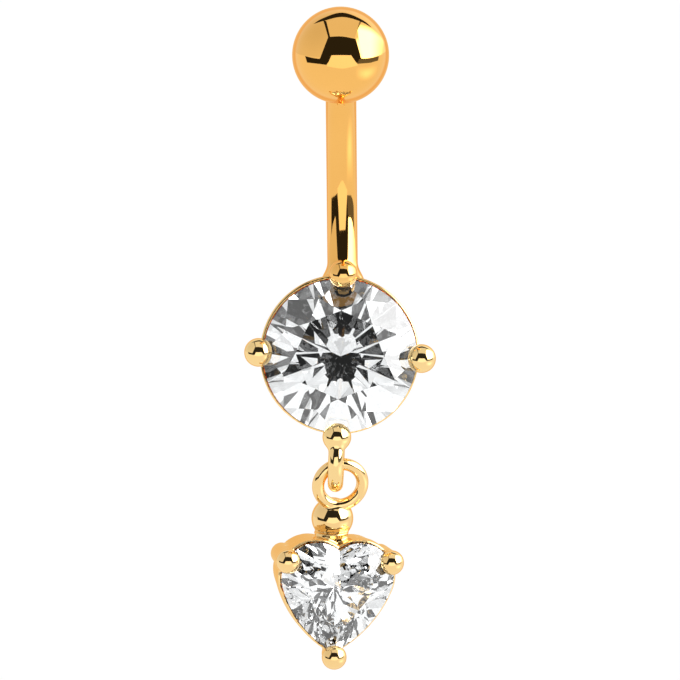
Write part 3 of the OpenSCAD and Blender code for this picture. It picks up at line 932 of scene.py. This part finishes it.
def silvered_back(name):
    """A thin mirror coat, a little uneven as a sprayed coat is. It gives the eye clean greys."""
    finish, tree = new_finish(name)
    where = add(tree, "ShaderNodeTexCoord").outputs["Object"]
    coat = add(tree, "ShaderNodeTexNoise", Vector=where, Scale=per_metre(COAT_PATCH), Detail=2.0)
    tone = add(tree, "ShaderNodeMix", {"data_type": "RGBA"}, n0=coat.outputs["Fac"],
               n6=linear("#FCFCFC"), n7=linear("#F5F5F5"))
    shader = add(tree, "ShaderNodeBsdfPrincipled", Base_Color=tone.outputs[2], Metallic=1.0,
                 Roughness=0.0)
    add(tree, "ShaderNodeOutputMaterial", Surface=shader.outputs[0])
    return finish


for stone, shape in ((round_stone, "round"), (heart_stone, "heart")):
    stone.data.materials.append(zirconia("clear_zirconia_" + shape, "#F6F8F9"))
    stone.data.materials.append(silvered_back("silvered_back_" + shape))
    print(stone.name, "is finished in", [m.name for m in stone.data.materials])

# %% [markdown]
# ## The camera
#
# A small jewel is photographed with a long lens from far off, so that near and far parts keep the
# same scale. The camera looks 8 degrees down. Where the round stone shows in the picture fixes
# where the camera points.

# %% The camera
CAMERA_UP, CAMERA_ROLL = 8.0, -0.55  # degrees
CAMERA_AWAY, SENSOR = 250.0, 36  # mm
PIXELS, PIXELS_PER_MM = 680, 19.2
STONE_SEEN_AT = (340.15, 355.7)  # pixels from the picture's left and top
NEAREST_SEEN, FURTHEST_SEEN = 0.01, 100  # metres

up_angle = math.radians(CAMERA_UP)
towards = np.array([0, -math.cos(up_angle), math.sin(up_angle)])
level_right = np.array([1.0, 0, 0])
level_up = np.array([0, math.sin(up_angle), math.cos(up_angle)])
rolling = math.radians(CAMERA_ROLL)
right = math.cos(rolling) * level_right + math.sin(rolling) * level_up
upward = -math.sin(rolling) * level_right + math.cos(rolling) * level_up
target = setting_at + upward * (STONE_SEEN_AT[1] - PIXELS / 2) / PIXELS_PER_MM \
    - right * (STONE_SEEN_AT[0] - PIXELS / 2) / PIXELS_PER_MM

camera_data = bpy.data.cameras.new("camera")
camera_data.sensor_width = SENSOR
camera_data.lens = CAMERA_AWAY * PIXELS_PER_MM / PIXELS * camera_data.sensor_width
camera_data.clip_start, camera_data.clip_end = NEAREST_SEEN, FURTHEST_SEEN
camera = new_object("camera", camera_data)
bpy.context.scene.camera = camera
facing = Matrix(np.column_stack([right, upward, towards])).to_4x4()
facing.translation = Vector((target + towards * CAMERA_AWAY) * MM)
camera.matrix_world = facing
print("lens in mm:", round(camera_data.lens, 1))

# %% [markdown]
# ## The studio
#
# Polished metal shows nothing but its surroundings, so the studio matters as much as the metal.
# It is a white tent with a pale floor. Over the front stands a dark opening for the camera, with
# a pale reflector below it, a ceiling panel above, and a strong window of light to the right.
# The easiest way to plan such a room is to say where each card shows in a mirror ball: a point of
# the ball, from the middle outwards, gives the direction in which the card stands.

# %% From a point seen in the ball to a direction
DOME_R = 0.22  # metres from the ball's middle to the cards


def seen_in_ball(across, up):
    """The direction that a mirror ball shows at this point; its rim is 1 away from 0, 0."""
    depth = math.sqrt(max(0.0, 1 - across**2 - up**2))
    return (2 * depth * across * right + 2 * depth * up * upward
            + (2 * depth**2 - 1) * towards)


def between(row, t):
    """A point on the smooth curve through a row of points, from its start at 0 to its end at 1."""
    place = t * (len(row) - 1)
    i = min(int(place), len(row) - 2)
    f = place - i
    a, b, c, d = (row[min(max(i + k, 0), len(row) - 1)] for k in (-1, 0, 1, 2))
    return [b[k] + f / 2 * (c[k] - a[k] + f * (2 * a[k] - 5 * b[k] + 4 * c[k] - d[k]
            + f * (3 * (b[k] - c[k]) + d[k] - a[k]))) for k in (0, 1)]


# %% The light of a card
def glow(name, strength, soft_sides, colour):
    """Light that is even, or fades towards the card's left, right, top and bottom. soft_sides
    are the shares of its width and height in which it fades on those four sides."""
    finish, tree = new_finish(name)
    light = add(tree, "ShaderNodeEmission", Color=linear(colour), Strength=strength)
    shown = 1.0
    for side, share in zip(("left", "right", "top", "bottom"), soft_sides):
        if share:
            along = "across" if side in ("left", "right") else "down"
            place = add(tree, "ShaderNodeAttribute", {"attribute_name": along}).outputs["Fac"]
            edge, inner = (0.0, share) if side in ("left", "top") else (1.0, 1.0 - share)
            rise = add(tree, "ShaderNodeMapRange", {"interpolation_type": "SMOOTHSTEP"},
                       Value=place, From_Min=edge, From_Max=inner)
            shown = add(tree, "ShaderNodeMath", {"operation": "MULTIPLY"}, n0=shown,
                        n1=rise.outputs[0]).outputs[0]
    clear = add(tree, "ShaderNodeBsdfTransparent")
    mixed = add(tree, "ShaderNodeMixShader", n0=shown, n1=clear.outputs[0],
                n2=light.outputs[0])
    add(tree, "ShaderNodeOutputMaterial", Surface=mixed.outputs[0])
    return finish


# %% A card on the dome
def card(name, top, bottom, strength, soft_sides=(0, 0, 0, 0), further=0.0, steps=12,
         colour="#FFFFFF"):
    """A card between two rows of points, given as they show in the ball. Cards that overlap stand
    a little further out or nearer, by further metres."""
    points, faces, across, down = [], [], [], []
    wide = 2 * steps + 1
    for j in range(steps + 1):
        for i in range(wide):
            a, b = between(top, i / (2 * steps)), between(bottom, i / (2 * steps))
            at = [a[k] + (b[k] - a[k]) * j / steps for k in (0, 1)]
            points.append(Vector(ball_middle * MM + seen_in_ball(*at) * (DOME_R + further)))
            across.append(i / (2 * steps))
            down.append(j / steps)
    for j in range(steps):
        for i in range(wide - 1):
            k = j * wide + i
            faces.append((k, k + 1, k + wide + 1, k + wide))
    mesh = bpy.data.meshes.new(name)
    mesh.from_pydata(points, [], faces)
    mesh.attributes.new("across", "FLOAT", "POINT").data.foreach_set("value", across)
    mesh.attributes.new("down", "FLOAT", "POINT").data.foreach_set("value", down)
    mesh.materials.append(glow(name, strength, soft_sides, colour))
    piece = new_object(name, mesh)
    piece.visible_camera = False
    print(f"{name}: strength {strength}")


# %% [markdown]
# ## The dark cards
#
# The opening for the camera spreads at its foot into two legs and two wings, and dark gaps run
# along the ceiling panel's edges. Black velvet would do this in a real studio. These dark shapes
# beside bright ones are what makes gold look polished.

# %% The dark opening for the camera
DARK, PALER_WING, PALER_SEAM = 0.025, 0.16, 0.3
card("dark_opening", [(-0.25, 0.345), (0.02, 0.355), (0.30, 0.31)],
     [(-0.43, -0.11), (0.0, -0.11), (0.425, -0.10)], DARK)
card("dark_left_leg", [(-0.44, -0.09), (-0.2, -0.03)],
     [(-0.30, -0.225), (-0.17, -0.08)], DARK)
card("dark_right_leg", [(0.20, -0.03), (0.43, -0.08)],
     [(0.17, -0.08), (0.365, -0.20)], DARK)
card("dark_left_wing", [(-0.735, -0.01), (-0.6, -0.06), (-0.40, -0.105)],
     [(-0.70, -0.15), (-0.55, -0.18), (-0.28, -0.225)], DARK, (0.1, 0, 0, 0))
card("dark_right_wing", [(0.38, -0.09), (0.6, -0.07), (0.785, -0.01)],
     [(0.34, -0.20), (0.6, -0.165), (0.77, -0.10)], PALER_WING)
card("dark_ceiling_gap",
     [(-0.54, 0.635), (-0.36, 0.74), (0.03, 0.855), (0.42, 0.72), (0.62, 0.57)],
     [(-0.52, 0.64), (-0.32, 0.69), (0.03, 0.76), (0.38, 0.68), (0.60, 0.575)], DARK)
card("dark_left_seam", [(-0.345, 0.70), (-0.285, 0.68)],
     [(-0.25, 0.335), (-0.21, 0.335)], DARK)
card("dark_right_seam", [(0.375, 0.68), (0.41, 0.67)],
     [(0.33, 0.49), (0.34, 0.49)], PALER_SEAM)

# %% [markdown]
# ## The bright cards
#
# These are lit paper and soft windows. A lamp would make a small hard spot on the gold; a card
# that fades at its sides makes the long soft highlights of a jeweller's tent.

# %% The bright cards
REFLECTOR, CEILING, WINDOW, NEAR_WINDOW, LOW_GLOW = 1.35, 0.9, 6.0, 5.0, 1.6
card("pale_reflector", [(-0.185, -0.03), (0.0, -0.03), (0.215, -0.03)],
     [(-0.285, -0.25), (0.04, -0.30), (0.355, -0.23)], REFLECTOR, further=-0.02)
card("ceiling_panel", [(-0.28, 0.67), (0.03, 0.755), (0.385, 0.67)],
     [(-0.21, 0.355), (0.03, 0.37), (0.285, 0.325)], CEILING, further=0.01)
card("bright_window", [(0.31, 0.66), (0.60, 0.585), (0.90, 0.36)],
     [(0.405, -0.09), (0.62, -0.06), (0.88, 0.05)], WINDOW, (0.08, 0.55, 0.25, 0),
     further=0.02)
card("window_by_the_opening", [(0.305, 0.34), (0.36, 0.36)], [(0.43, -0.095), (0.48, -0.09)],
     NEAR_WINDOW, (0, 0.6, 0.3, 0), further=0.015)
card("low_glow", [(0.30, -0.22), (0.54, -0.22), (0.80, -0.12)],
     [(0.30, -0.55), (0.54, -0.55), (0.76, -0.42)], LOW_GLOW, (0.5, 0.5, 0.5, 0.5),
     further=0.02)

# %% [markdown]
# ## The warm back of the tent
#
# At its rim a polished piece mirrors what stands behind it. In the photo the rims stay golden, so
# the back of the tent is a warm tan. The camera looks past it at the white paper.

# %% The warm back of the tent
BACK_TURNS, BACK_FROM, BACK_TO = 24, 0.90, 0.9998
BACK_GLOW, BACK_COLOUR = 1.0, "#F8D69C"
around = [math.radians(90 + 360 * i / BACK_TURNS) for i in range(BACK_TURNS + 1)]
inner_rim, outer_rim = [[(r * math.cos(a), r * math.sin(a)) for a in around]
                        for r in (BACK_FROM, BACK_TO)]
card("warm_back", inner_rim, outer_rim, BACK_GLOW, (0, 0, 0.5, 0), further=0.03,
     steps=BACK_TURNS, colour=BACK_COLOUR)

# %% [markdown]
# ## The tent and its floor
#
# The tent is white cloth lit from outside, a little dimmer on the left than on the right and
# dimmer overhead. The world's background gives that even light without any wall to build. The
# floor is matt white paper without any shine. It glows, so that it stays an even white below the
# jewel and shows the eye no shadow.

# %% The tent
LEFT_LIGHT, RIGHT_LIGHT, OVERHEAD_SHARE = 0.88, 1.4, 0.82
DIM_FROM, DIM_TO = 0.1, 0.9  # heights on the tent between which it dims; overhead is 1
world = bpy.data.worlds.new("tent")
bpy.context.scene.world = world
world.use_nodes = True
tree = world.node_tree
tree.nodes.clear()
direction = add(tree, "ShaderNodeTexCoord").outputs["Generated"]
sides = add(tree, "ShaderNodeSeparateXYZ", Vector=direction)
to_right = add(tree, "ShaderNodeMapRange", {"interpolation_type": "SMOOTHSTEP"},
               Value=sides.outputs[0], From_Min=-1.0, From_Max=1.0, To_Min=LEFT_LIGHT,
               To_Max=RIGHT_LIGHT)
above = add(tree, "ShaderNodeMapRange", Value=sides.outputs[2], From_Min=DIM_FROM,
            From_Max=DIM_TO, To_Min=1.0, To_Max=OVERHEAD_SHARE)
level = add(tree, "ShaderNodeMath", {"operation": "MULTIPLY"}, n0=to_right.outputs[0],
            n1=above.outputs[0])
light = add(tree, "ShaderNodeBackground", Color=linear("#FFFFFF"), Strength=level.outputs[0])
add(tree, "ShaderNodeOutputWorld", Surface=light.outputs[0])

# %% The floor of white paper
FLOOR_BELOW, FLOOR_HALF = 0.45, 40.0  # metres
PAPER_GLOW = 0.86
floor_mesh = bpy.data.meshes.new("floor")
floor_mesh.from_pydata([(x * FLOOR_HALF, y * FLOOR_HALF, -FLOOR_BELOW)
                        for x, y in ((-1, -1), (1, -1), (1, 1), (-1, 1))], [], [(0, 1, 2, 3)])
floor = new_object("floor", floor_mesh)
paper, tree = new_finish("white_paper")
shader = add(tree, "ShaderNodeBsdfPrincipled", Base_Color=linear("#6C6C6C"), Roughness=0.9,
             Specular_IOR_Level=0.0, Emission_Color=linear("#FFFFFF"),
             Emission_Strength=PAPER_GLOW)
add(tree, "ShaderNodeOutputMaterial", Surface=shader.outputs[0])
floor.data.materials.append(paper)

# %% [markdown]
# ## How light is followed
#
# Light crosses a cut stone many times before it leaves. Followed for too few bounces it would
# end inside, and the stone would look dark, so the limits are set well above the usual ones.

# %% How light is followed
scene = bpy.context.scene
scene.view_settings.view_transform = "Standard"
scene.cycles.max_bounces = 32
scene.cycles.transmission_bounces = 28
scene.cycles.glossy_bounces = 16
